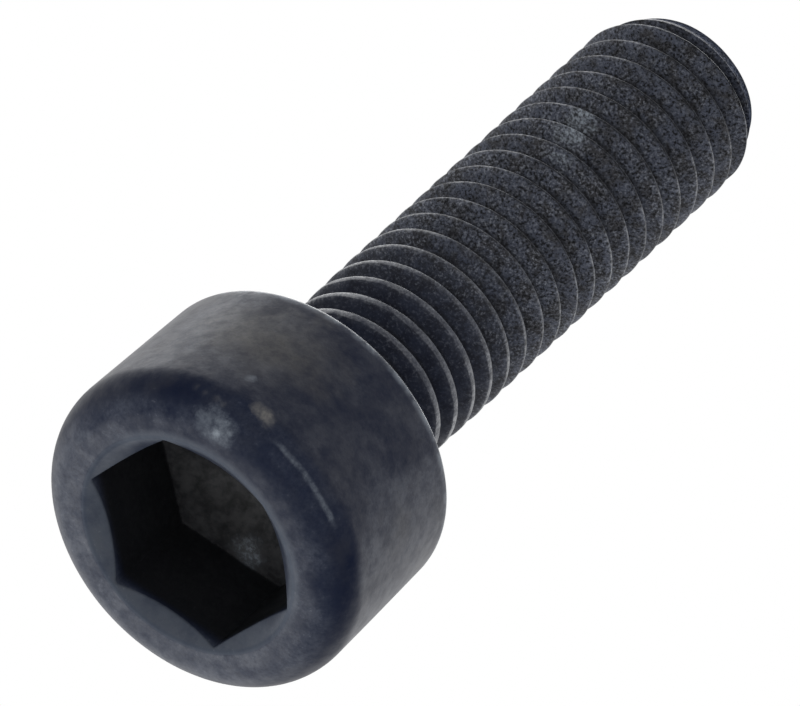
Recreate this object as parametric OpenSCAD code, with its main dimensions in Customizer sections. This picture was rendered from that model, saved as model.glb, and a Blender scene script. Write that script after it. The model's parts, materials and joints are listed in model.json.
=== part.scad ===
// Socket-head clamp bolt, forged and thread-rolled in one piece.
// It stands on its head: the head's face is at z = 0 and the thread points up +Z.
// Millimetres. The thread itself is finer than this model: its stretch of the shank is a plain
// cylinder over the crests.

/* [Head] */
// Diameter of the head where it is widest, just behind the face
head_d = 9.0; // [8.4:0.1:12]
// Height of the head, from its face to its bearing face
head_h = 5.2; // [4.5:0.1:8]
// Radius that rounds the edge of the face
face_edge_r = 1.05; // [0.3:0.05:1.1]
// Radius that rounds the edge of the bearing face
bearing_edge_r = 0.2; // [0.05:0.05:0.4]
// Angle that the head's side leans in, from the face to the bearing face
head_draft = 2; // [0.5:0.5:3]

/* [Hexagon socket] */
// Width of the socket across its flats
socket_af = 5.2; // [3:0.05:5.2]
// Depth of the flats, from the face
socket_depth = 3.1; // [1.5:0.1:3.1]
// Width of the countersink's rim past the socket's corners, on each side
countersink_lip = 0.07; // [0.02:0.01:0.1]
// Included angle of the countersink
countersink_angle = 110; // [90:5:130]
// Included angle of the cone in the socket's floor
floor_angle = 140; // [130:5:170]
// Width of the flat ledge around the cone, at the middle of each flat
floor_ledge = 0.1; // [0.05:0.05:0.5]

/* [Shank] */
// Length of the shank, from the bearing face to the tip
shank_l = 17.7; // [10:0.1:40]
// Nominal diameter of the thread
thread_d = 5.0; // [4.5:0.1:6]
// Pitch of the thread
thread_pitch = 0.8; // [0.5:0.05:1]
// How far the thread's crests lie inside the nominal diameter, on the diameter
crest_allowance = 0.03; // [0:0.01:0.1]
// Radius of the fillet under the head
under_head_r = 0.3; // [0.25:0.05:0.4]
// Length of the thread's run-out, from the bearing face to the first full crest
runout_l = 0.8; // [0.8:0.1:2]
// Length of the taper at the tip
tip_l = 0.9; // [0.3:0.1:2]
// Diameter of the tip's end face
tip_d = 4.1; // [3:0.1:4.2]

/* [Hidden] */
$fn = 96;
hexagon = 6;
overlap = 0.01;
// How far a flat side starts inside the rounded edge that it runs into, so that they cut cleanly
seam = 0.002;
// A metric thread is rolled on a blank this share of its pitch under its nominal diameter
BLANK_SHARE = 0.6495;

crest_r = (thread_d - crest_allowance) / 2;
blank_r = (thread_d - BLANK_SHARE * thread_pitch) / 2;
runout_taper_l = crest_r - blank_r;
neck_l = runout_l - runout_taper_l;
bolt_l = head_h + shank_l;

socket_corner_r = socket_af / 2 / cos(180 / hexagon);
countersink_r = socket_corner_r + countersink_lip;
countersink_depth = countersink_r / tan(countersink_angle / 2);
floor_cone_r = socket_af / 2 - floor_ledge;
floor_cone_depth = floor_cone_r / tan(floor_angle / 2);

// Centres of the two rounded edges, and where each meets the leaning side
draft_normal = [cos(head_draft), sin(head_draft)];
face_edge = [head_d / 2 - face_edge_r, face_edge_r];
side_start = face_edge + (face_edge_r - seam) * draft_normal;
function side_r(z) = side_start[0] - (z - side_start[1]) * tan(head_draft);
bearing_edge_z = head_h - bearing_edge_r;
bearing_edge = [side_r(bearing_edge_z) - bearing_edge_r / cos(head_draft), bearing_edge_z];
side_end = bearing_edge + (bearing_edge_r - seam) * draft_normal;

// Half of the head's section: radius across, height up
module head_section() {
    polygon([[0, 0], [face_edge[0], 0], face_edge, side_start, side_end, bearing_edge,
        [bearing_edge[0], head_h], [0, head_h]]);
    translate(face_edge) circle(face_edge_r);
    translate(bearing_edge) circle(bearing_edge_r);
}

// The fillet in the corner between the bearing face and the neck
module under_head_fillet_section() {
    difference() {
        translate([blank_r - overlap, head_h - overlap])
            square(under_head_r + overlap);
        translate([blank_r + under_head_r, head_h + under_head_r]) circle(under_head_r);
    }
}

// Half of the shank's section: neck, run-out, thread stretch and tapered tip
module shank_section() {
    polygon([[0, head_h - overlap], [blank_r, head_h - overlap], [blank_r, head_h + neck_l],
        [crest_r, head_h + runout_l], [crest_r, bolt_l - tip_l], [tip_d / 2, bolt_l],
        [0, bolt_l]]);
}

// The hexagon socket: countersunk mouth, straight flats, and a floor with a shallow cone in it
module socket() {
    translate([0, 0, -overlap])
        cylinder(r = socket_corner_r, h = socket_depth + overlap, $fn = hexagon);
    cylinder(r1 = countersink_r, r2 = 0, h = countersink_depth);
    translate([0, 0, socket_depth])
        cylinder(r1 = floor_cone_r, r2 = 0, h = floor_cone_depth);
}

module clamp_bolt() {
    color([0.16, 0.17, 0.20])
        difference() {
            rotate_extrude() {
                head_section();
                under_head_fillet_section();
                shank_section();
            }
            socket();
        }
}

clamp_bolt();
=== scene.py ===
"""The looks of the clamp bolt, laid out as an add-on: one operator makes the bolt and one the stage.

Sizes are in metres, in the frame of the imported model: the head's face is at z = 0 and the thread
points up +Z. Bearings are turned about +Z from +X.
"""

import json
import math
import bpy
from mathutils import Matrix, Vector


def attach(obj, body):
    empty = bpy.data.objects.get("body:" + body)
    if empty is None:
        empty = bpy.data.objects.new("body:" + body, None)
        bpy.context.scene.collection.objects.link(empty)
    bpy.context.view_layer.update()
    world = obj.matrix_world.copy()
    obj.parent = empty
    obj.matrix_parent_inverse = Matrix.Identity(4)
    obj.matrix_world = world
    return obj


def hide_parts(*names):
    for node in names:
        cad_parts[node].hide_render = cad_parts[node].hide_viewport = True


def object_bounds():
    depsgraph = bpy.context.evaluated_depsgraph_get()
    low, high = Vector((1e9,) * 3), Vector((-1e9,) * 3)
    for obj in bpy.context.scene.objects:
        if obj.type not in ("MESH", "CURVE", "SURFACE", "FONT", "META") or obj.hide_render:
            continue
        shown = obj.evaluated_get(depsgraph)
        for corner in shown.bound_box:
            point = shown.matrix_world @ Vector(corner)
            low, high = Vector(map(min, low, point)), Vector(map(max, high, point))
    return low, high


bl_info = {
    "name": "Clamp Bolt",
    "version": (1, 0, 0),
    "blender": (4, 5, 0),
    "location": "3D View > Sidebar > Clamp Bolt",
    "description": "Makes a short socket-head bolt with a rolled thread, in worn black oxide",
    "category": "Add Mesh",
}

import bmesh
import bpy
from mathutils import Matrix, Vector, noise

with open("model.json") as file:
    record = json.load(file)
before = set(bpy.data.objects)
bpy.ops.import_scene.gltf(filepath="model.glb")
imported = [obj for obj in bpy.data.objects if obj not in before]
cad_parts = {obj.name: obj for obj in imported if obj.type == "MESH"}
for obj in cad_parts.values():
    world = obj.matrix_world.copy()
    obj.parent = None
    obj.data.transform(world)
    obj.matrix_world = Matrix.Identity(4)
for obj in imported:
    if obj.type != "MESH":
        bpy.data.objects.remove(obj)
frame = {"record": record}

MM = 0.001
CAD_LOW, CAD_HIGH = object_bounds()
MOUNTS = {mount["name"]: mount for mount in frame["record"]["mounts"]}

HEXAGON = 6
# A multiple of six, so that each of the hexagon's corners has a step
HEAD_STEPS = 240
THREAD_STEPS = 160
LONGEST_EDGE = 0.2 * MM
WELD = 0.001 * MM
SHARP_ANGLE = math.radians(38)
CREST_LAYER = "crest"

# How far a flank of the thread leans from square to the bolt
FLANK_ANGLE = math.radians(30)
# Shares of the neck's length where the head's mesh ends and the thread's starts; a bridge joins them
HEAD_ENDS, THREAD_STARTS = 0.85, 0.95
# Heights past the bearing face between which the crests get narrower, and get their full height
CRESTS_NARROW = (1.5 * MM, 8.5 * MM)
CRESTS_FILL = (1.5 * MM, 6.0 * MM)
# Rings of the dished end, each as (its width over the last ring's, how much lower it lies)
END_RINGS = ((0.96, 0.0), (0.75, 0.03 * MM), (0.6, 0.05 * MM), (0.4, 0.02 * MM))
# How deep the finest relief of the skin is, which only bends the light
RELIEF_DEPTH = 0.012 * MM

# Half of the floor's width, and how far it lies under the bolt so that the two don't share a plane
FLOOR_REACH, FLOOR_GAP = 1.5, 0.02 * MM

# Bearing of the side that faces the camera, in degrees; the finish paints shade and highlights, and
# shifts its tones and shine, by how far a point faces it
CAMERA_BEARING = -69.9
# Marks on the bolt, each as ((radius, bearing, height), size, strength), in millimetres and degrees
HEAD_SCUFFS = (
    ((3.80, -92.9, 0.07), 0.32, 0.24),
    ((4.02, -98.4, 0.17), 0.42, 0.28),
    ((3.95, -91.0, 0.13), 0.30, 0.26),
    ((3.81, -94.0, 0.07), 0.10, 0.9),
    ((3.98, -89.6, 0.15), 0.12, 0.3),
    ((4.48, -96.4, 1.67), 0.15, 0.4),
)
THREAD_SCUFFS = (
    ((2.42, -100.5, 17.8), 0.38, 1.7),
    ((2.42, -97.8, 17.0), 0.40, 1.7),
    ((2.42, -90.7, 16.9), 0.18, 2.4),
    ((2.42, -90.1, 16.1), 0.34, 1.3),
    ((2.45, -99.4, 11.0), 0.09, 1.4),
    ((2.45, -101.9, 9.3), 0.08, 1.4),
)
# Three dabs in a row are the smudge, and four fainter ones a streak beside it
TAN_SMUDGES = (
    ((4.50, -87.4, 0.98), 0.17, 0.26),
    ((4.48, -84.6, 0.91), 0.21, 0.32),
    ((4.46, -81.8, 0.83), 0.23, 0.36),
    ((4.42, -108.0, 0.65), 0.11, 0.12),
    ((4.40, -104.0, 0.60), 0.12, 0.13),
    ((4.38, -100.0, 0.56), 0.12, 0.13),
    ((4.37, -96.6, 0.53), 0.11, 0.12),
)
# Marks painted in their own way, each as (radius, bearing, height)
BROWN_STAIN, BROWN_STAIN_SIZE = (4.4, -98.0, 3.1), 1.7
PALE_PATCH, PALE_PATCH_SIZE = (2.33, 80.1, 3.1), 0.42
PALE_ARC = (4.37, -57.5, 0.55)


# --- Properties ---------------------------------------------------------------------------------


def length_prop(name, description, metres):
    return bpy.props.FloatProperty(
        name=name,
        description=description,
        default=metres,
        min=0.0,
        precision=5,
        unit="LENGTH",
    )


def angle_prop(name, description, degrees):
    return bpy.props.FloatProperty(
        name=name,
        description=description,
        default=math.radians(degrees),
        subtype="ANGLE",
    )


def share_prop(name, description, share):
    return bpy.props.FloatProperty(
        name=name,
        description=description,
        default=share,
        min=0.0,
        max=1.0,
        subtype="FACTOR",
    )


def colour_prop(name, description, colour):
    return bpy.props.FloatVectorProperty(
        name=name,
        description=description,
        default=colour,
        size=3,
        min=0.0,
        max=1.0,
        subtype="COLOR",
    )


class HeadSizes(bpy.types.PropertyGroup):
    """The head, from its face to its bearing face."""

    radius: length_prop(
        "Radius",
        "Where the head is widest, just behind the face",
        min(CAD_HIGH.x, CAD_HIGH.y, -CAD_LOW.x, -CAD_LOW.y),
    )
    height: length_prop(
        "Height",
        "From the face to the bearing face",
        MOUNTS["under_head"]["pos_m"][2],
    )
    draft: angle_prop("Draft", "How far the side leans in towards the bearing face", 2)
    face_edge: length_prop("Face edge", "Radius that rounds the edge of the face", 1.05 * MM)
    rear_edge: length_prop("Rear edge", "Radius that rounds the bearing face's edge", 0.2 * MM)
    fillet: length_prop("Fillet", "Radius between the bearing face and the neck", 0.3 * MM)
    unevenness: length_prop("Unevenness", "How far the forged skin dips", 0.012 * MM)


class SocketSizes(bpy.types.PropertyGroup):
    """The hexagon pressed into the head."""

    across_flats: length_prop("Across flats", "Width between opposite flats", 5.2 * MM)
    depth: length_prop("Depth", "From the face to the foot of the flats", 3.1 * MM)
    corner: length_prop("Corner", "Radius in the hexagon's corners", 0.1 * MM)
    lip: length_prop("Lip", "How far the countersink passes the corners", 0.07 * MM)
    countersink: angle_prop("Countersink", "Included angle of the mouth's countersink", 110)
    floor_ledge: length_prop("Ledge", "Width of the ledge round the floor's cone", 0.1 * MM)
    floor_cone: angle_prop("Floor cone", "Included angle of the cone in the floor", 140)
    edge: length_prop("Edge", "Width of the soft edge round the mouth", 0.03 * MM)
    floor_unevenness: length_prop("Floor unevenness", "How rough the floor is", 0.03 * MM)


class ThreadSizes(bpy.types.PropertyGroup):
    """The rolled thread and the neck under it."""

    crest_radius: length_prop(
        "Crest radius", "Radius over the crests", MOUNTS["thread"]["dims"]["r_mm"] * MM
    )
    root_radius: length_prop("Root radius", "Radius at the bottom of the groove", 2.01 * MM)
    blank_radius: length_prop("Blank radius", "Radius of the plain neck", 2.24 * MM)
    root_round: length_prop("Root round", "Radius that rounds the groove's bottom", 0.08 * MM)
    pitch: length_prop("Pitch", "Rise of the thread in one turn", 0.8 * MM)
    start: length_prop(
        "Start", "Height of a crest over +X, past a whole number of pitches", 0.5 * MM
    )
    land_at_head: length_prop("Land at head", "Width of the crests near the head", 0.2 * MM)
    land_at_tip: length_prop("Land at tip", "Width of the crests near the tip", 0.05 * MM)
    crest_edge: length_prop("Crest edge", "Width of the soft edge beside a crest", 0.014 * MM)
    underfill: length_prop("Underfill", "How much lower crests are near the head", 0.035 * MM)
    neck: length_prop("Neck", "Plain length between the bearing face and the run-out", 0.565 * MM)
    runout: length_prop("Run-out", "Length in which the groove gets its full depth", 1.0 * MM)
    tip_radius: length_prop("Tip radius", "Radius of the tip's end face", 2.05 * MM)
    tip_length: length_prop("Tip length", "Length of the taper at the tip", 0.9 * MM)
    crest_wobble: length_prop("Crest wobble", "How unevenly the crests are filled", 0.01 * MM)


class OxideFinish(bpy.types.PropertyGroup):
    """The black oxide and what has worn through it."""

    oxide: colour_prop("Oxide", "Blue-black oxide where it is whole", (0.009, 0.014, 0.036))
    haze: colour_prop("Haze", "Greyer bloom that clouds the oxide", (0.070, 0.083, 0.120))
    warm: colour_prop("Warm stain", "Brown-black stain in the oxide", (0.063, 0.063, 0.070))
    brown: colour_prop("Brown stain", "Broad stain on the head's side", (0.070, 0.069, 0.071))
    skin: colour_prop("Thread skin", "Blue-grey of the rolled thread", (0.090, 0.103, 0.146))
    mouth: colour_prop("Mouth", "Paler bloom on the socket's countersink", (0.080, 0.095, 0.125))
    # Soot is also the colour of the painted shade in the grooves and on crests near the tip
    soot_and_shade: colour_prop("Soot", "Black in the socket and between grains", (0.014, 0.015, 0.018))
    deposit: colour_prop("Deposit", "Brown-grey on the socket's floor", (0.082, 0.084, 0.090))
    tip: colour_prop("Tip", "Blue-black of the sheared end", (0.014, 0.021, 0.040))
    grain: colour_prop("Grain", "Pale grains of the thread's rough skin", (0.27, 0.29, 0.34))
    # The crest grey is both rubbed wear and a painted highlight on the crests
    crest: colour_prop("Crest", "Grey of the rubbed crests", (0.35, 0.36, 0.38))
    # The scuff grey is also the colour of the painted highlights on the head's edges
    scuff_and_highlight: colour_prop("Scuff", "Frosty grey where the oxide is scuffed", (0.30, 0.34, 0.39))
    tan: colour_prop("Tan", "Tan smudge beside the scuffs", (0.25, 0.24, 0.22))
    roughness: share_prop("Roughness", "Roughness of the oxide", 0.4)
    shine: share_prop("Shine", "Strength of the oxide's reflections", 0.5)


class StudioSettings(bpy.types.PropertyGroup):
    """The camera, lamps and floor."""

    azimuth: angle_prop("Azimuth", "Bearing of the camera from -Y", 20.1)
    elevation: angle_prop("Elevation", "Height of the camera, below the floor if negative", -42.8)
    roll: angle_prop("Roll", "Turn of the camera about its own line of sight", 47.3)
    field: length_prop("Field", "Width of what the camera sees at the bolt", 19.9 * MM)
    lens: bpy.props.FloatProperty(
        name="Lens",
        description="Focal length of the camera",
        default=1400.0,
        min=1.0,
        unit="CAMERA",
    )
    aim_height: length_prop("Aim height", "Height that the camera points at", 9.644 * MM)
    aim_side: length_prop("Aim side", "How far beside the axis it points", 0.062 * MM)
    fill: share_prop("Fill", "Strength of the even light that no reflection shows", 0.62)
    open_side: share_prop("Open side", "How bright the studio's open side is in reflections", 0.04)
    open_side_span: bpy.props.FloatVectorProperty(
        name="Open side span",
        description="Cosines, from the open side's middle, between which the white walls fade",
        default=(-0.52, -0.02),
        size=2,
        min=-1.0,
        max=1.0,
    )
    floor: colour_prop("Floor", "Colour of the pale floor", (0.86, 0.86, 0.86))


# --- Shaping helpers ----------------------------------------------------------------------------


def smooth_step(low, high, value):
    share = min(1.0, max(0.0, (value - low) / (high - low)))
    return share * share * (3.0 - 2.0 * share)


def radius_of(point):
    return math.hypot(point.x, point.y)


def bearing_of(point):
    return math.atan2(point.y, point.x)


def on_bolt(radius, bearing, height):
    return Vector((radius * math.cos(bearing), radius * math.sin(bearing), height))


def draw_section(bm, corners):
    """A chain of edges in the XZ plane through (radius, height) corners, and its vertices."""
    verts = [bm.verts.new((radius, 0.0, height)) for radius, height in corners]
    for before, after in zip(verts, verts[1:]):
        bm.edges.new((before, after))
    return verts


def round_corner(bm, vert, radius, segments):
    """Rounds one corner of a section to a radius."""
    one, other = [(edge.other_vert(vert).co - vert.co).normalized() for edge in vert.link_edges]
    bmesh.ops.bevel(
        bm,
        geom=[vert],
        offset=radius / math.tan(one.angle(other) / 2),
        offset_type="OFFSET",
        segments=segments,
        profile=0.5,
        affect="VERTICES",
        material=-1,
    )


def divide_long_edges(bm, longest):
    """Cuts a section's straight stretches into edges no longer than this."""
    for edge in list(bm.edges):
        cuts = math.ceil(edge.calc_length() / longest) - 1
        if cuts > 0:
            bmesh.ops.subdivide_edges(bm, edges=[edge], cuts=cuts)


# --- Head and socket ----------------------------------------------------------------------------


def hexagon_radius(socket, bearing):
    """Radius of the socket's outline at a bearing, with its corners rounded."""
    corner_step = math.tau / HEXAGON
    from_corner = (bearing + corner_step / 2) % corner_step - corner_step / 2
    apothem = socket.across_flats / 2
    centre = (apothem - socket.corner) / math.cos(math.pi / HEXAGON)
    off_line = centre * math.sin(from_corner)
    flat = apothem / math.cos(corner_step / 2 - abs(from_corner))
    if abs(off_line) > socket.corner / 2:
        return flat
    rounded = centre * math.cos(from_corner) + math.sqrt(socket.corner**2 - off_line**2)
    return min(flat, rounded)


def press_hexagon(bm, socket, corner_radius, mouth_radius, cone_radius):
    """Draws the round socket's wall in to the hexagon, and its lip down the countersink."""
    slope = math.tan(socket.countersink / 2)
    lip_at_corner = (mouth_radius - corner_radius) / slope
    for vert in bm.verts:
        radius, height = radius_of(vert.co), vert.co.z
        if height > socket.depth + WELD or not cone_radius + WELD < radius < mouth_radius - WELD:
            continue
        bearing = bearing_of(vert.co)
        outline = hexagon_radius(socket, bearing)
        lip = (mouth_radius - outline) / slope
        if radius > corner_radius + WELD:
            share = (radius - corner_radius) / (mouth_radius - corner_radius)
            radius = outline + share * (mouth_radius - outline)
            height = (mouth_radius - radius) / slope
        else:
            share = (radius - cone_radius) / (corner_radius - cone_radius)
            radius = cone_radius + share * (outline - cone_radius)
            down = (height - lip_at_corner) / (socket.depth - lip_at_corner)
            height = lip + down * (socket.depth - lip)
        vert.co = on_bolt(radius, bearing, height)


def soften_mouth(bm, socket, mouth_radius):
    """Bevels the two edges of the countersink, at the face and at the flats."""
    slope = math.tan(socket.countersink / 2)
    rims = []
    for edge in bm.edges:
        ends = [vert.co for vert in edge.verts]
        bearings = [bearing_of(end) for end in ends]
        if abs(bearings[0] - bearings[1]) < WELD / socket.depth:
            continue
        at_face = all(abs(radius_of(end) - mouth_radius) < WELD and end.z < WELD for end in ends)
        at_flats = all(
            abs(radius_of(end) - hexagon_radius(socket, bearing)) < WELD
            and abs(end.z - (mouth_radius - radius_of(end)) / slope) < WELD
            for end, bearing in zip(ends, bearings)
        )
        if at_face or at_flats:
            rims.append(edge)
    bmesh.ops.bevel(
        bm,
        geom=rims,
        offset=socket.edge,
        offset_type="OFFSET",
        segments=2,
        profile=0.5,
        affect="EDGES",
        clamp_overlap=True,
        material=-1,
    )


def roughen_head(bm, head, socket):
    """Lets the forged skin dip unevenly, and the socket's floor more so."""
    broad, fine, floor_grain = 2.2 * MM, 0.7 * MM, 0.35 * MM
    floor_radius = socket.across_flats / 2
    clear_of_mouth = floor_radius * 1.3
    near_bearing_face = head.height * 0.98
    for vert in bm.verts:
        point = vert.co.copy()
        radius = radius_of(point)
        if radius > clear_of_mouth and point.z < near_bearing_face:
            dip = 0.5 + 0.5 * noise.noise(point / broad)
            dip *= 0.7 + 0.3 * noise.noise(point / fine)
            inward = Vector((-point.x, -point.y, 0.0)).normalized()
            vert.co += inward * head.unevenness * max(0.0, dip)
        elif radius < floor_radius and socket.depth - WELD < point.z < head.height:
            vert.co.z += socket.floor_unevenness * noise.noise(point / floor_grain)


def turn_head(bm, head, socket, thread):
    """The head, socket and neck, turned round +Z from one section and open at the neck's end."""
    corner_radius = socket.across_flats / 2 / math.cos(math.pi / HEXAGON)
    mouth_radius = corner_radius + socket.lip
    cone_radius = socket.across_flats / 2 - socket.floor_ledge
    cone_depth = cone_radius / math.tan(socket.floor_cone / 2)
    lip_depth = socket.lip / math.tan(socket.countersink / 2)
    lean = math.tan(head.draft)
    # The leaning side is tangent to the face's rounded edge, so it would stand a little outside the
    # head's radius at the height of that edge's centre
    side_at_centre = head.radius - head.face_edge + head.face_edge / math.cos(head.draft)
    side_at_face = side_at_centre + head.face_edge * lean
    side_at_rear = side_at_face - head.height * lean

    section = draw_section(
        bm,
        [
            (0.0, socket.depth + cone_depth),
            (cone_radius, socket.depth),
            (corner_radius, socket.depth),
            (corner_radius, lip_depth),
            (mouth_radius, 0.0),
            (side_at_face, 0.0),
            (side_at_rear, head.height),
            (thread.blank_radius, head.height),
            (thread.blank_radius, head.height + thread.neck * HEAD_ENDS),
        ],
    )
    face_corner, rear_corner, neck_corner = section[5:8]
    round_corner(bm, face_corner, head.face_edge, segments=18)
    round_corner(bm, rear_corner, head.rear_edge, segments=6)
    round_corner(bm, neck_corner, head.fillet, segments=6)
    divide_long_edges(bm, LONGEST_EDGE)
    bmesh.ops.spin(
        bm,
        geom=bm.verts[:] + bm.edges[:],
        cent=(0.0, 0.0, 0.0),
        axis=(0.0, 0.0, 1.0),
        angle=math.tau,
        steps=HEAD_STEPS,
        use_merge=True,
    )
    bmesh.ops.remove_doubles(bm, verts=bm.verts[:], dist=WELD)
    bmesh.ops.recalc_face_normals(bm, faces=bm.faces[:])
    press_hexagon(bm, socket, corner_radius, mouth_radius, cone_radius)
    soften_mouth(bm, socket, mouth_radius)
    roughen_head(bm, head, socket)


# --- Thread -------------------------------------------------------------------------------------


def half_section(thread, crest_half, soft):
    """Half a pitch of the thread's section, from a crest's middle to a root's.

    Each point is (offset along the bolt, share of the groove's depth, how rubbed it is).
    """
    depth = thread.crest_radius - thread.root_radius
    # The root is an arc: it has risen by half its radius where it meets the flank, and by about a
    # quarter of that halfway round
    root_edge = thread.pitch / 2 - thread.root_round * math.cos(FLANK_ANGLE)
    root_edge_share = thread.root_round * 0.5 / depth
    root_middle = thread.pitch / 2 - thread.root_round * 0.5
    root_middle_share = root_edge_share * 0.27
    top, top_share = crest_half + soft, 1.0 - soft / depth
    flank = [
        (
            top + share * (root_edge - top),
            top_share + share * (root_edge_share - top_share),
            0.0,
        )
        for share in (1 / 3, 2 / 3, 1.0)
    ]
    return [
        (0.0, 1.0, 1.0),
        (crest_half - soft, 1.0, 1.0),
        (top, top_share, 0.4),
        *flank,
        (root_middle, root_middle_share, 0.0),
        (thread.pitch / 2, 0.0, 0.0),
    ]


def crest_limit(thread, head_height, bolt_length, height):
    """Radius that the crests may have at a height: less over the run-out and the tapered tip."""
    runout = thread.blank_radius + max(0.0, height - head_height - thread.neck)
    taper = (thread.crest_radius - thread.tip_radius) / thread.tip_length
    tip = thread.crest_radius - taper * max(0.0, height - (bolt_length - thread.tip_length))
    return min(thread.crest_radius, runout, tip)


def root_limit(thread, head_height, height):
    """Radius of the groove's bottom at a height: it rises to the blank at the run-out."""
    start = head_height + thread.neck
    depth = smooth_step(start, start + thread.runout, height)
    return thread.blank_radius + depth * (thread.root_radius - thread.blank_radius)


def roll_thread(bm, head_height, bolt_length, thread):
    """The threaded stretch of the shank: one turn of a one-pitch section, repeated up the bolt.

    It is cut off level at the neck and at the tip, and closed at the tip.
    """
    station = bm.verts.layers.int.new("station")
    crest = bm.verts.layers.float.new(CREST_LAYER)
    plain = half_section(thread, thread.land_at_head / 2, thread.crest_edge)
    last = len(plain) - 1
    offsets = {
        index: math.copysign(plain[abs(index)][0], index) for index in range(-last, last + 1)
    }
    first_pitch = math.floor(head_height / thread.pitch) - 1
    start = first_pitch * thread.pitch + thread.start
    verts = draw_section(bm, [(thread.blank_radius, start + x) for x in offsets.values()])
    for vert, index in zip(verts, offsets):
        vert[station] = index
    bmesh.ops.spin(
        bm,
        geom=bm.verts[:] + bm.edges[:],
        cent=(0.0, 0.0, 0.0),
        axis=(0.0, 0.0, 1.0),
        dvec=(0.0, 0.0, thread.pitch / THREAD_STEPS),
        angle=math.tau,
        steps=THREAD_STEPS,
        use_merge=False,
    )
    turn = bm.verts[:] + bm.edges[:] + bm.faces[:]
    turns = math.ceil((bolt_length - start) / thread.pitch) + 1
    for number in range(1, turns):
        copied = bmesh.ops.duplicate(bm, geom=turn)["geom"]
        moved = [item for item in copied if isinstance(item, bmesh.types.BMVert)]
        bmesh.ops.translate(bm, verts=moved, vec=(0.0, 0.0, number * thread.pitch))
    bmesh.ops.remove_doubles(bm, verts=bm.verts[:], dist=WELD * 2)

    for vert in bm.verts:
        shape_thread_vertex(vert, station, crest, offsets, head_height, bolt_length, thread)
    neck_cut = head_height + thread.neck * THREAD_STARTS
    for height, outward in ((neck_cut, -1.0), (bolt_length, 1.0)):
        bmesh.ops.bisect_plane(
            bm,
            geom=bm.verts[:] + bm.edges[:] + bm.faces[:],
            dist=WELD * 0.5,
            plane_co=(0.0, 0.0, height),
            plane_no=(0.0, 0.0, outward),
            clear_outer=True,
        )
    close_tip(bm, bolt_length)


def along_shank(span, head_height, height):
    """0 before a span of heights past the bearing face, 1 after it, and smooth in between."""
    start, end = span
    return smooth_step(head_height + start, head_height + end, height)


def shape_thread_vertex(vert, station, crest, offsets, head_height, bolt_length, thread):
    """Moves one vertex of the swept section to its place on the thread."""
    index = vert[station]
    middle = vert.co.z - offsets[index]
    bearing = bearing_of(vert.co)
    uneven = noise.noise(on_bolt(thread.crest_radius, bearing, middle) / (0.5 * MM))
    narrowed = along_shank(CRESTS_NARROW, head_height, middle)
    land = thread.land_at_head + (thread.land_at_tip - thread.land_at_head) * narrowed
    land *= 1.0 + 0.25 * uneven
    lowered = thread.crest_radius - crest_limit(thread, head_height, bolt_length, middle)
    widened = lowered * math.tan(FLANK_ANGLE)
    section = half_section(thread, land / 2 + widened, thread.crest_edge)
    offset, share, rubbed = section[abs(index)]
    height = middle + math.copysign(offset, index)
    low = root_limit(thread, head_height, height)
    filled = along_shank(CRESTS_FILL, head_height, height)
    high = crest_limit(thread, head_height, bolt_length, height)
    high -= thread.underfill * (1.0 - filled)
    on_thread = smooth_step(thread.blank_radius, thread.crest_radius, high)
    dip = max(0.0, 0.5 + uneven) * thread.crest_wobble * share * on_thread
    radius = low + share * max(0.0, high - low) - dip
    vert.co = on_bolt(radius, bearing, height)
    vert[crest] = rubbed * on_thread


def close_tip(bm, bolt_length):
    """Closes the cut tip with an end face that is dished a little."""
    rim = [e for e in bm.edges if e.is_boundary and e.verts[0].co.z > bolt_length - 0.1 * MM]
    for narrowed, dish in END_RINGS:
        ring = bmesh.ops.extrude_edge_only(bm, edges=rim)["geom"]
        verts = [item for item in ring if isinstance(item, bmesh.types.BMVert)]
        bmesh.ops.scale(bm, verts=verts, vec=(narrowed, narrowed, 1.0))
        bmesh.ops.translate(bm, verts=verts, vec=(0.0, 0.0, -dish))
        rim = [e for e in bm.edges if e.is_boundary and all(v in set(verts) for v in e.verts)]
    face = bmesh.ops.edgeloop_fill(bm, edges=rim)["faces"]
    bmesh.ops.poke(bm, faces=face)


# --- The bolt -----------------------------------------------------------------------------------


def add_other(bm, other):
    """Adds another bmesh's geometry to this one, and frees the other."""
    carrier = bpy.data.meshes.new("carrier")
    other.to_mesh(carrier)
    other.free()
    bm.from_mesh(carrier)
    bpy.data.meshes.remove(carrier)


def build_bolt_mesh(head, socket, thread, bolt_length):
    """The whole bolt as one closed mesh."""
    bm = bmesh.new()
    bm.verts.layers.float.new(CREST_LAYER)
    turn_head(bm, head, socket, thread)
    threaded = bmesh.new()
    roll_thread(threaded, head.height, bolt_length, thread)
    add_other(bm, threaded)
    open_edges = [edge for edge in bm.edges if edge.is_boundary]
    bmesh.ops.bridge_loops(bm, edges=open_edges)
    bmesh.ops.dissolve_degenerate(bm, dist=WELD * 0.1, edges=bm.edges[:])
    bmesh.ops.recalc_face_normals(bm, faces=bm.faces[:])
    if any(not edge.is_manifold for edge in bm.edges):
        raise RuntimeError("the bolt's mesh isn't closed")
    for face in bm.faces:
        face.smooth = True
    mesh = bpy.data.meshes.new("bolt_with_thread")
    bm.to_mesh(mesh)
    bm.free()
    mesh.set_sharp_from_angle(angle=SHARP_ANGLE)
    return mesh


# --- Materials ----------------------------------------------------------------------------------


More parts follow.
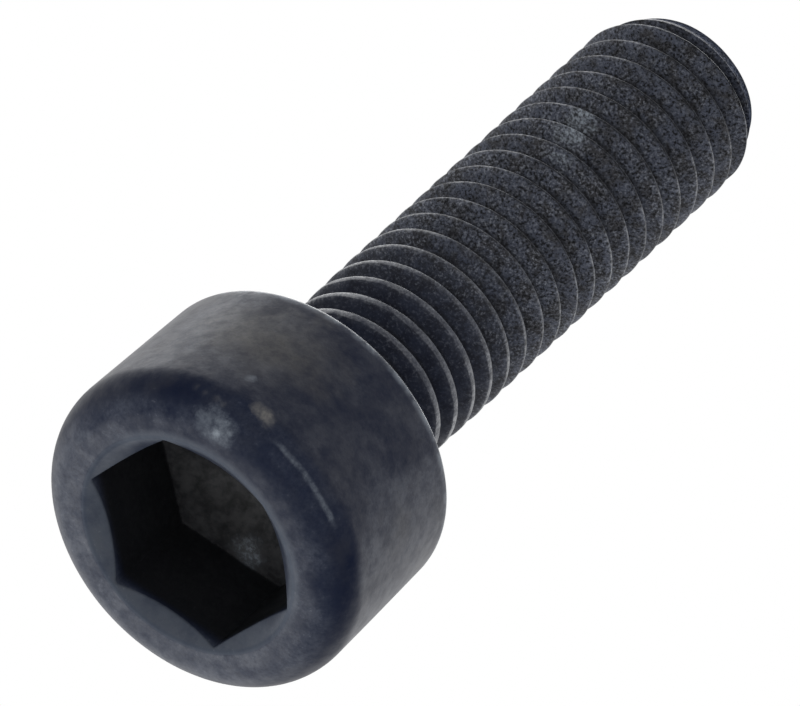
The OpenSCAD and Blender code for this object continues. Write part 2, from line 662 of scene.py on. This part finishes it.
class NodeBench:
    """Adds nodes to one tree and links them. Each method gives the output of the last one it adds."""

    def __init__(self, tree):
        self.tree = tree
        tree.nodes.clear()

    def add(self, kind, inputs=None, output=0, **settings):
        node = self.tree.nodes.new(kind)
        for name, value in settings.items():
            setattr(node, name, value)
        for name, value in (inputs or {}).items():
            if isinstance(value, bpy.types.NodeSocket):
                self.tree.links.new(value, node.inputs[name])
            else:
                node.inputs[name].default_value = value
        return node.outputs[output] if node.outputs else None

    def math(self, operation, first, second=0.0, third=0.0):
        return self.add("ShaderNodeMath", {0: first, 1: second, 2: third}, operation=operation)

    def product(self, first, *others):
        """All the values multiplied together."""
        for value in others:
            first = self.math("MULTIPLY", first, value)
        return first

    def without(self, share):
        """What is left of 1 when a share is taken from it."""
        return self.math("SUBTRACT", 1.0, share)

    def gap(self, value, middle):
        """How far a value lies from a middle one, to either side."""
        return self.math("ABSOLUTE", self.math("SUBTRACT", value, middle))

    def vector(self, operation, first, second=(0.0, 0.0, 0.0)):
        output = "Value" if operation in ("LENGTH", "DOT_PRODUCT", "DISTANCE") else "Vector"
        return self.add("ShaderNodeVectorMath", {0: first, 1: second}, output, operation=operation)

    def ramp(self, value, low, high, start=0.0, end=1.0):
        """start where value is at low, end where it is at high, and smooth in between."""
        inputs = {"Value": value, 1: low, 2: high, 3: start, 4: end}
        return self.add("ShaderNodeMapRange", inputs, interpolation_type="SMOOTHSTEP")

    def noise(self, vector, size, detail, roughness):
        """Noise whose features are about this size, in the vector's own units."""
        inputs = {
            "Vector": vector,
            "Scale": 1.0 / size,
            "Detail": detail,
            "Roughness": roughness,
        }
        return self.add("ShaderNodeTexNoise", inputs)

    def mix(self, share, first, second):
        """The first colour where the share is 0, and the second where it is 1."""
        first, second = (
            colour if isinstance(colour, bpy.types.NodeSocket) else (*colour, 1.0)
            for colour in (first, second)
        )
        return self.add("ShaderNodeMix", {0: share, 6: first, 7: second}, 2, data_type="RGBA")


class Skin:
    """Where on the bolt a point lies, in millimetres, and the noises that the finish's layers share."""

    def __init__(self, bench, head, socket, thread, bolt_length):
        self.bench = bench
        self.head_height = head.height / MM
        self.bolt_length = bolt_length / MM
        self.root_radius = thread.root_radius / MM
        place = bench.add("ShaderNodeTexCoord", output="Object")
        self.position = bench.vector("MULTIPLY", place, (1.0 / MM, 1.0 / MM, 1.0 / MM))
        self.height = bench.add("ShaderNodeSeparateXYZ", {"Vector": self.position}, "Z")
        outward = bench.vector("MULTIPLY", self.position, (1.0, 1.0, 0.0))
        self.radius = bench.vector("LENGTH", outward)
        # 1 on the side towards the camera, -1 across from it
        camera_direction = on_bolt(1.0, math.radians(CAMERA_BEARING), 0.0)
        self.toward_camera = bench.vector("DOT_PRODUCT", bench.vector("NORMALIZE", outward), camera_direction)

        self.blotches = self.noise(1.1, 5.0, 0.65)
        self.streaks = self.noise(0.45, 3.0, 0.6, (5.0, 2.0, 8.0))
        self.stains = self.noise(2.4, 4.0, 0.6, (11.0, 4.0, 7.0))
        self.patches = self.noise(0.42, 4.0, 0.65, (2.0, 6.0, 3.0))
        self.grain = self.noise(0.075, 2.0, 0.75)
        self.flecks = self.noise(0.11, 3.0, 0.75, (3.0, 9.0, 1.0))
        self.breakup = bench.math("SUBTRACT", self.patches, 0.5)

        self.on_rounding = bench.product(
            bench.ramp(self.height, 0.1, 0.35),
            bench.ramp(self.height, 0.75, 1.15, 0.75, 0.0),
        )
        corner = socket.across_flats / 2 / math.cos(math.pi / HEXAGON)
        mouth = (corner + socket.lip) / MM
        self.off_mouth = bench.gap(self.radius, mouth)
        # Followed out to the face along the countersink's slope, points on it meet the mouth's edge
        slope = math.tan(socket.countersink / 2)
        at_face = bench.math("MULTIPLY_ADD", self.height, slope, self.radius)
        off_cone = bench.gap(at_face, mouth)
        self.on_countersink = bench.ramp(off_cone, 0.03, 0.07, 1.0, 0.0)
        depth = socket.depth / MM
        self.in_socket = bench.product(
            bench.ramp(self.height, 0.25, 0.6),
            bench.ramp(self.height, depth + 1.2, depth + 1.6, 1.0, 0.0),
            bench.ramp(self.radius, mouth, mouth + 0.1, 1.0, 0.0),
        )
        self.on_floor = bench.product(self.in_socket, bench.ramp(self.height, depth - 0.08, depth))

        # The thread's skin gets rougher from the head to the tip
        self.on_thread = bench.ramp(self.height, self.head_height, self.head_height + 0.9)
        self.rough = bench.product(
            bench.ramp(self.height, self.head_height + 3.0, self.head_height + 8.0, 0.22, 1.0),
            self.on_thread,
        )
        # Towards the tip, on the side towards the camera, the thread's crests are rubbed less and get
        # painted shade
        self.crest = bench.add("ShaderNodeAttribute", output="Fac", attribute_name=CREST_LAYER)
        self.near_tip = bench.ramp(self.height, self.head_height + 3.5, self.head_height + 9.0)
        self.shaded_side = bench.product(
            self.near_tip, bench.ramp(self.toward_camera, 0.75, 0.95, 0.0, 0.85)
        )
        self.shaded_crest = bench.product(self.crest, self.shaded_side)

    def noise(self, size, detail, roughness, offset=(0.0, 0.0, 0.0)):
        vector = self.bench.vector("ADD", self.position, offset)
        return self.bench.noise(vector, size, detail, roughness)

    def mark(self, place, size, breakup):
        """How far a point lies in one mark: a patch that a noise breaks into ragged flecks."""
        radius, bearing, height = place
        centre = on_bolt(radius, math.radians(bearing), height)
        distance = self.bench.vector("DISTANCE", self.position, centre)
        ragged = self.bench.math("MULTIPLY_ADD", breakup, size * 3.0, distance)
        return self.bench.ramp(ragged, size * 0.1, size * 1.4, 1.0, 0.0)


def cloud_head(skin, finish):
    """Blue-black oxide, stained in places, with a greyer bloom on the face and its countersink; the
    bloom and mottled haze are painted lighter away from the camera's side, as a painted reflection.
    """
    bench = skin.bench
    on_face = bench.ramp(skin.height, 0.04, 0.5, 1.0, 0.0)
    off_face = bench.without(on_face)
    # Painted reflection: the bloom, and the mottled haze below, are lighter on the side away from the
    # camera
    away_from_camera = bench.ramp(skin.toward_camera, -0.4, 0.7, 1.0, 0.3)
    bloom = bench.product(on_face, away_from_camera)
    mottle = bench.product(
        bench.ramp(skin.blotches, 0.36, 0.66),
        bench.ramp(skin.patches, 0.3, 0.62, 0.4, 1.0),
        bench.without(skin.on_rounding),
        bench.ramp(skin.toward_camera, 0.8, 0.99, 1.0, 0.35),
    )
    dusty = bench.product(
        skin.on_rounding,
        bench.ramp(skin.toward_camera, 0.7, 0.97, 0.0, 1.0),
        bench.ramp(skin.patches, 0.3, 0.65, 0.35, 0.8),
    )
    mottle = bench.math("MAXIMUM", mottle, dusty)
    share = bench.math("MULTIPLY_ADD", bloom, 0.55, bench.product(mottle, 0.45))
    share = bench.product(share, bench.ramp(skin.flecks, 0.3, 0.6, 0.6, 1.15))
    colour = bench.mix(bench.math("MINIMUM", share, 1.0), finish.oxide, finish.haze)

    stained = bench.product(
        bench.ramp(skin.stains, 0.48, 0.7),
        0.35,
        off_face,
        bench.ramp(skin.toward_camera, 0.85, 0.99, 1.0, 0.3),
    )
    colour = bench.mix(stained, colour, finish.warm)
    brown = bench.product(
        skin.mark(BROWN_STAIN, BROWN_STAIN_SIZE, bench.math("SUBTRACT", skin.stains, 0.5)),
        off_face,
        bench.ramp(skin.patches, 0.3, 0.65, 0.6, 1.0),
    )
    colour = bench.mix(brown, colour, finish.brown)

    pale = bench.product(
        skin.on_countersink,
        away_from_camera,
        bench.ramp(skin.blotches, 0.3, 0.6, 0.5, 1.0),
    )
    colour = bench.mix(pale, colour, finish.mouth)
    sparse = bench.product(
        bench.ramp(skin.flecks, 0.60, 0.74),
        mottle,
        bench.math("MULTIPLY_ADD", bloom, 0.7, 0.3),
        0.5,
    )
    return bench.mix(sparse, colour, finish.grain)


def darken_socket(skin, finish, colour):
    """Sooty walls in the socket, and on its floor a mottled deposit with one pale patch."""
    bench = skin.bench
    colour = bench.mix(skin.in_socket, colour, finish.soot_and_shade)
    deposit = bench.product(bench.ramp(skin.patches, 0.32, 0.68, 0.2, 0.85), skin.on_floor)
    colour = bench.mix(deposit, colour, finish.deposit)
    pale = bench.product(
        skin.mark(PALE_PATCH, PALE_PATCH_SIZE, skin.breakup),
        bench.ramp(skin.flecks, 0.4, 0.62, 0.3, 1.0),
        skin.on_floor,
        0.9,
    )
    return bench.mix(pale, colour, finish.scuff_and_highlight)


def roughen_thread(skin, finish, colour):
    """The rolled thread: near-black at the head, blue-grey and brown with dense grains at the tip, with
    painted shade in its grooves.
    """
    bench = skin.bench
    blue_grey = bench.mix(bench.ramp(skin.patches, 0.36, 0.62), finish.warm, finish.skin)
    base = bench.mix(skin.rough, finish.oxide, blue_grey)
    between_grains = bench.product(bench.ramp(skin.grain, 0.49, 0.37), skin.rough)
    base = bench.mix(between_grains, base, finish.soot_and_shade)
    groove = skin.root_radius
    # Painted shade at the bottom of the groove, darkest at the root
    groove_shade = bench.ramp(skin.radius, groove + 0.03, groove + 0.16, 0.65, 0.0)
    base = bench.mix(groove_shade, base, finish.soot_and_shade)
    end = skin.bolt_length
    grains = bench.product(
        bench.ramp(skin.grain, 0.52, 0.68),
        skin.rough,
        bench.without(groove_shade),
        bench.ramp(skin.blotches, 0.35, 0.62, 0.35, 1.0),
        bench.ramp(skin.height, end - 4.5, end - 1.5, 1.0, 0.8),
    )
    base = bench.mix(grains, base, finish.grain)
    return bench.mix(skin.on_thread, colour, base)


def rub_crests(skin, finish, colour):
    """Crests rubbed grey in patches towards the tip: wear, with a painted highlight that fades towards
    the camera's side, where crests near the tip get painted shade instead.
    """
    bench = skin.bench
    ragged = bench.math("MULTIPLY_ADD", bench.math("SUBTRACT", skin.flecks, 0.5), 1.2, skin.crest)
    broken = bench.product(skin.near_tip, bench.ramp(skin.patches, 0.36, 0.6, 0.75, 0.0))
    end = skin.bolt_length
    rub_and_highlight = bench.product(
        bench.ramp(ragged, 0.15, 0.95),
        bench.ramp(skin.streaks, 0.32, 0.6, 0.3, 1.0),
        bench.ramp(skin.grain, 0.38, 0.6, 0.5, 1.15),
        bench.without(broken),
        bench.ramp(skin.height, end - 2.2, end - 0.8, 1.0, 0.5),
        bench.without(skin.shaded_side),
        bench.ramp(skin.toward_camera, 0.5, 0.97, 1.0, 0.22),
    )
    # Painted shade: dark crests near the tip, on the side towards the camera
    colour = bench.mix(skin.shaded_crest, colour, finish.soot_and_shade)
    return bench.mix(bench.math("MINIMUM", rub_and_highlight, 1.0), colour, finish.crest)


def scuff_bolt(skin, finish, colour):
    """Frosty scuffs on the head and the thread, and a tan smudge and streak on the head."""
    bench = skin.bench
    soft = bench.ramp(skin.flecks, 0.35, 0.65, 0.75, 1.15)
    speckled = bench.product(
        bench.ramp(skin.flecks, 0.42, 0.6, 0.15, 1.0),
        bench.ramp(skin.grain, 0.42, 0.6, 0.25, 1.0),
    )
    for marks, texture, paint in (
        (HEAD_SCUFFS, soft, finish.scuff_and_highlight),
        (THREAD_SCUFFS, speckled, finish.scuff_and_highlight),
        (TAN_SMUDGES, soft, finish.tan),
    ):
        for place, size, strength in marks:
            mark = bench.product(skin.mark(place, size, skin.breakup), texture, strength)
            colour = bench.mix(bench.math("MINIMUM", mark, 1.0), colour, paint)
    return colour


def paint_pale_arc(skin, finish, colour):
    """A thin pale arc on the face's rounded edge, over part of its way round."""
    bench = skin.bench
    radius, bearing, height = PALE_ARC
    wavering = bench.math("MULTIPLY_ADD", skin.breakup, 0.12, skin.height)
    middle = on_bolt(radius, math.radians(bearing), height)
    from_middle = bench.vector("DISTANCE", skin.position, middle)
    arc = bench.product(
        bench.ramp(bench.gap(wavering, height), 0.01, 0.1, 1.0, 0.0),
        bench.ramp(from_middle, 0.9, 1.5, 1.0, 0.0),
        bench.ramp(skin.streaks, 0.42, 0.6, 0.12, 0.34),
        bench.ramp(skin.flecks, 0.34, 0.58, 0.6, 1.1),
    )
    return bench.mix(arc, colour, finish.scuff_and_highlight)


def paint_edge_highlights(skin, finish, colour):
    """Painted highlights: a pale, streaky band all the way round the head's rear edge, and a pale line
    on part of the mouth's edge, stronger towards the camera.
    """
    bench = skin.bench
    # Painted highlight round the rear edge
    rear_highlight = bench.product(
        bench.ramp(bench.gap(skin.height, skin.head_height - 0.12), 0.04, 0.22, 1.0, 0.0),
        bench.ramp(skin.streaks, 0.38, 0.65, 0.08, 0.5),
        bench.ramp(skin.radius, 3.6, 4.0),
    )
    colour = bench.mix(rear_highlight, colour, finish.scuff_and_highlight)
    # Painted highlight along the mouth's edge
    rim = bench.product(
        bench.ramp(skin.off_mouth, 0.05, 0.32, 1.0, 0.0),
        bench.ramp(skin.height, 0.1, 0.25, 1.0, 0.0),
        bench.ramp(skin.toward_camera, -0.2, 0.6, 0.0, 0.22),
    )
    return bench.mix(rim, colour, finish.scuff_and_highlight)


def darken_end(skin, finish, colour):
    """The end, a little darker and bluer than the thread beside it."""
    end = skin.bolt_length
    darkened = skin.bench.ramp(skin.height, end - 0.7, end - 0.1, 0.0, 0.35)
    return skin.bench.mix(darkened, colour, finish.tip)


def vary_shine(skin, finish):
    """How strongly the oxide reflects: patchy, and duller on the edges, the end, the face's side
    towards the camera and the shaded crests.
    """
    bench = skin.bench
    end = skin.bolt_length
    at_end = bench.ramp(skin.height, end - 0.5, end - 0.3)
    face_toward_camera = bench.product(
        bench.ramp(skin.height, 0.1, 0.5, 1.0, 0.0),
        bench.ramp(skin.toward_camera, -0.3, 0.6, 0.0, 0.55),
    )
    # The mouth's edge is as dull as the face beside it
    at_mouth = bench.product(
        bench.ramp(skin.off_mouth, 0.03, 0.1, 0.8, 0.0),
        bench.ramp(skin.height, 0.1, 0.2, 1.0, 0.0),
    )
    return bench.product(
        bench.ramp(skin.patches, 0.3, 0.7, finish.shine * 0.6, finish.shine * 1.3),
        bench.ramp(skin.blotches, 0.35, 0.65, 0.75, 1.2),
        bench.without(at_end),
        bench.without(face_toward_camera),
        bench.without(skin.shaded_crest),
        bench.math("MULTIPLY_ADD", skin.on_rounding, -0.8, 1.0),
        bench.without(at_mouth),
    )


def make_oxide(finish, head, socket, thread, bolt_length):
    """Black oxide on steel: clouded blue-black, grainy on the thread, rubbed and scuffed."""
    material = bpy.data.materials.new("worn_black_oxide")
    material.use_nodes = True
    bench = NodeBench(material.node_tree)
    skin = Skin(bench, head, socket, thread, bolt_length)
    colour = cloud_head(skin, finish)
    for layer in (
        darken_socket,
        roughen_thread,
        rub_crests,
        scuff_bolt,
        paint_pale_arc,
        paint_edge_highlights,
        darken_end,
    ):
        colour = layer(skin, finish, colour)

    spread = 0.25
    roughness = finish.roughness - spread / 2
    roughness = bench.math("MULTIPLY_ADD", skin.blotches, spread, roughness)
    roughness = bench.math("MULTIPLY_ADD", skin.rough, 0.1, roughness)
    graininess = bench.math("ADD", skin.rough, 0.12)
    dents = bench.product(skin.streaks, 0.9)
    relief = bench.math("MULTIPLY_ADD", skin.grain, graininess, dents)
    bump = bench.add(
        "ShaderNodeBump", {"Strength": 1.0, "Distance": RELIEF_DEPTH, "Height": relief}
    )
    surface = bench.add(
        "ShaderNodeBsdfPrincipled",
        {
            "Base Color": colour,
            "Roughness": roughness,
            "Normal": bump,
            "Metallic": 0.0,
            "Specular IOR Level": vary_shine(skin, finish),
        },
    )
    bench.add("ShaderNodeOutputMaterial", {"Surface": surface})
    return material


# --- Stage --------------------------------------------------------------------------------------


def make_floor_finish(studio):
    """A pale floor that is seen, and shows shadows, from above only."""
    material = bpy.data.materials.new("pale_floor")
    material.use_nodes = True
    bench = NodeBench(material.node_tree)
    seen = bench.math(
        "MULTIPLY",
        bench.add("ShaderNodeLightPath", output="Is Camera Ray"),
        bench.math("SUBTRACT", 1.0, bench.add("ShaderNodeNewGeometry", output="Backfacing")),
    )
    paint = bench.add("ShaderNodeBsdfDiffuse", {"Color": (*studio.floor, 1.0)})
    clear = bench.add("ShaderNodeBsdfTransparent")
    surface = bench.add("ShaderNodeMixShader", {0: seen, 1: clear, 2: paint})
    bench.add("ShaderNodeOutputMaterial", {"Surface": surface})
    return material


def make_floor(studio):
    """The floor, a wide square just under the bolt."""
    bm = bmesh.new()
    bmesh.ops.create_grid(bm, x_segments=1, y_segments=1, size=FLOOR_REACH)
    bmesh.ops.translate(bm, verts=bm.verts[:], vec=(0.0, 0.0, -FLOOR_GAP))
    mesh = bpy.data.meshes.new("floor")
    bm.to_mesh(mesh)
    bm.free()
    mesh.materials.append(make_floor_finish(studio))
    floor = bpy.data.objects.new("floor", mesh)
    bpy.context.scene.collection.objects.link(floor)


def make_surroundings(studio):
    """A white studio that is dimmer on its open side where surfaces mirror it, with an even fill."""
    world = bpy.data.worlds.new("white_studio")
    bpy.context.scene.world = world
    world.use_nodes = True
    bench = NodeBench(world.node_tree)
    seen = bench.add("ShaderNodeLightPath", output="Is Camera Ray")
    mirrored = bench.add("ShaderNodeLightPath", output="Is Glossy Ray")
    through = bench.add("ShaderNodeLightPath", output="Is Transmission Ray")
    direction = bench.add("ShaderNodeTexCoord", output="Generated")
    _, _, open_side = camera_axes(studio)
    towards_open = bench.vector("DOT_PRODUCT", direction, open_side)
    walls = bench.ramp(towards_open, *studio.open_side_span, 1.0, studio.open_side)
    shown = bench.math("MAXIMUM", seen, through)
    shown = bench.math("MULTIPLY_ADD", mirrored, walls, shown)
    even = bench.math("SUBTRACT", 1.0, bench.math("MAXIMUM", mirrored, shown))
    strength = bench.math("MULTIPLY_ADD", even, studio.fill, shown)
    strength = bench.math("MINIMUM", strength, 1.0)
    light = bench.add("ShaderNodeBackground", {"Color": (1.0, 1.0, 1.0, 1.0), "Strength": strength})
    bench.add("ShaderNodeOutputWorld", {"Surface": light})


def camera_axes(studio):
    """The camera's right, up and backward directions, before it is rolled."""
    level, lift = math.cos(studio.elevation), math.sin(studio.elevation)
    back = Vector((math.sin(studio.azimuth) * level, -math.cos(studio.azimuth) * level, lift))
    right = Vector((0.0, 0.0, 1.0)).cross(back).normalized()
    return right, back.cross(right), back


def make_camera(studio):
    """A long lens that looks at the bolt from below its head, rolled about its line of sight."""
    right, up, back = camera_axes(studio)
    camera = bpy.data.objects.new("camera", bpy.data.cameras.new("camera"))
    camera.data.lens = studio.lens
    distance = studio.field * studio.lens / camera.data.sensor_width
    aim = Vector((0.0, 0.0, studio.aim_height)) + right * studio.aim_side
    turned = Matrix((right, up, back)).transposed() @ Matrix.Rotation(studio.roll, 3, "Z")
    camera.matrix_world = Matrix.Translation(aim + back * distance) @ turned.to_4x4()
    camera.data.clip_start = distance * 0.1
    camera.data.clip_end = distance * 10
    bpy.context.scene.collection.objects.link(camera)
    bpy.context.scene.camera = camera


def make_lamp(name, direction, distance, size, power):
    """A soft square lamp that faces the middle of the bolt."""
    lamp = bpy.data.lights.new(name, "AREA")
    lamp.shape = "SQUARE"
    lamp.size = size
    lamp.energy = power
    holder = bpy.data.objects.new(name, lamp)
    direction = Vector(direction).normalized()
    middle = (CAD_LOW + CAD_HIGH) / 2
    holder.location = middle + direction * distance
    holder.rotation_mode = "QUATERNION"
    holder.rotation_quaternion = direction.to_track_quat("Z", "Y")
    bpy.context.scene.collection.objects.link(holder)


def make_lamps(studio):
    """Three soft lamps: under the head's face, over the bolt, and beside it."""
    right, up, back = camera_axes(studio)
    towards_side = right * 0.3 + back * 0.4 + up * 0.9
    make_lamp("lamp_face", -up + back * 0.15, distance=0.35, size=0.22, power=0.25)
    make_lamp("lamp_overhead", (-0.3, 0.25, 1.0), distance=0.4, size=0.3, power=0.9)
    make_lamp("lamp_side", towards_side, distance=0.4, size=0.3, power=0.12)


# --- Operators, panel and registration ----------------------------------------------------------


class BOLT_OT_make_bolt(bpy.types.Operator):
    """Make the bolt: head, hexagon socket, neck, rolled thread and tip in one piece"""

    bl_idname = "clamp_bolt.make_bolt"
    bl_label = "Make bolt"

    def execute(self, context):
        scene = context.scene
        head, socket, thread = scene.bolt_head, scene.bolt_socket, scene.bolt_thread
        mesh = build_bolt_mesh(head, socket, thread, CAD_HIGH.z)
        oxide = make_oxide(scene.bolt_finish, head, socket, thread, CAD_HIGH.z)
        mesh.materials.append(oxide)
        bolt = bpy.data.objects.new("bolt_with_thread", mesh)
        scene.collection.objects.link(bolt)
        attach(bolt, "root")
        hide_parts("clamp_bolt")
        return {"FINISHED"}


class BOLT_OT_set_stage(bpy.types.Operator):
    """Set the stage: pale floor, white surroundings, soft lamps and the camera"""

    bl_idname = "clamp_bolt.set_stage"
    bl_label = "Set stage"

    def execute(self, context):
        studio = context.scene.bolt_studio
        make_floor(studio)
        make_surroundings(studio)
        make_lamps(studio)
        make_camera(studio)
        context.scene.view_settings.view_transform = "Standard"
        return {"FINISHED"}


class BOLT_PT_panel(bpy.types.Panel):
    """Sizes, colours and the two operators, in the 3D view's sidebar"""

    bl_idname = "BOLT_PT_panel"
    bl_label = "Clamp Bolt"
    bl_space_type = "VIEW_3D"
    bl_region_type = "UI"
    bl_category = "Clamp Bolt"

    def draw(self, context):
        for title, name, _ in SETTINGS:
            box = self.layout.box()
            box.label(text=title)
            settings = getattr(context.scene, name)
            for prop in type(settings).__annotations__:
                box.prop(settings, prop)
        for operator in OPERATORS:
            self.layout.operator(operator.bl_idname)


SETTINGS = (
    ("Head", "bolt_head", HeadSizes),
    ("Socket", "bolt_socket", SocketSizes),
    ("Thread", "bolt_thread", ThreadSizes),
    ("Finish", "bolt_finish", OxideFinish),
    ("Studio", "bolt_studio", StudioSettings),
)
OPERATORS = (BOLT_OT_make_bolt, BOLT_OT_set_stage)


def register():
    for _, name, group in SETTINGS:
        bpy.utils.register_class(group)
        setattr(bpy.types.Scene, name, bpy.props.PointerProperty(type=group))
    for cls in (*OPERATORS, BOLT_PT_panel):
        bpy.utils.register_class(cls)


def unregister():
    for cls in (BOLT_PT_panel, *reversed(OPERATORS)):
        bpy.utils.unregister_class(cls)
    for _, name, group in reversed(SETTINGS):
        delattr(bpy.types.Scene, name)
        bpy.utils.unregister_class(group)


def main():
    register()
    bpy.ops.clamp_bolt.make_bolt()
    bpy.ops.clamp_bolt.set_stage()


if __name__ == "__main__":
    main()
